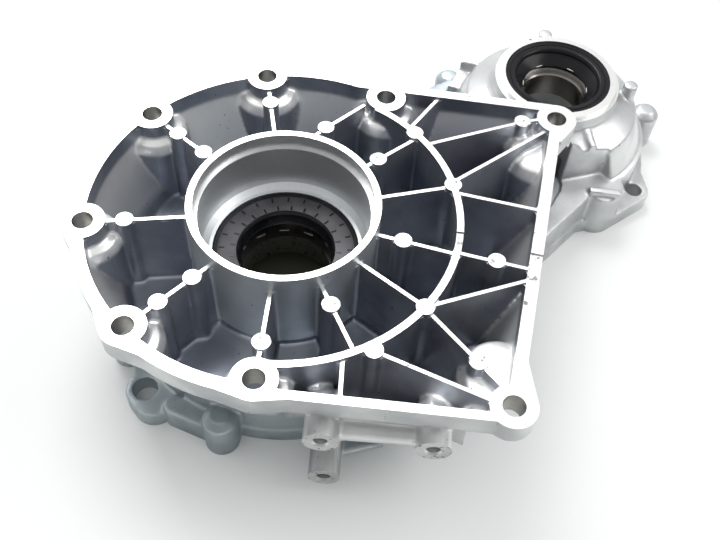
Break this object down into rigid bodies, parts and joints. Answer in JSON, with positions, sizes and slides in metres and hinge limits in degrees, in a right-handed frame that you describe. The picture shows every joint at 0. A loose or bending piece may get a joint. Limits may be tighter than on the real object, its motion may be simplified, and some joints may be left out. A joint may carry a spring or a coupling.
{
  "type": "differential housing",
  "caption": "Die-cast differential housing: ribbed bell with a D-shaped bolt flange, stepped input hub, gear casing below and a sealed output bore",
  "frame": {"origin": "on the input bore's axis, in the machined bell flange face, inside the hub's rim register", "axes": "+Z out of the bell mouth along the input axis, +X towards the flat side of the flange, +Y towards the output bore's side"},
  "size_m": [0.3468, 0.3365, 0.092],
  "materials": {
    "casting": "as-cast satin with bright machined faces",
    "rubber": "black moulded rubber",
    "spring_steel": "bright spring wire",
    "bush_steel": "polished brown-grey bush"
  },
  "bodies": {
    "root": {"housing": "casting", "input_seal": "rubber", "input_seal_spring": "spring_steel", "output_seal": "rubber", "output_seal_spring": "spring_steel", "output_bush": "bush_steel"}
  },
  "joints": []
}
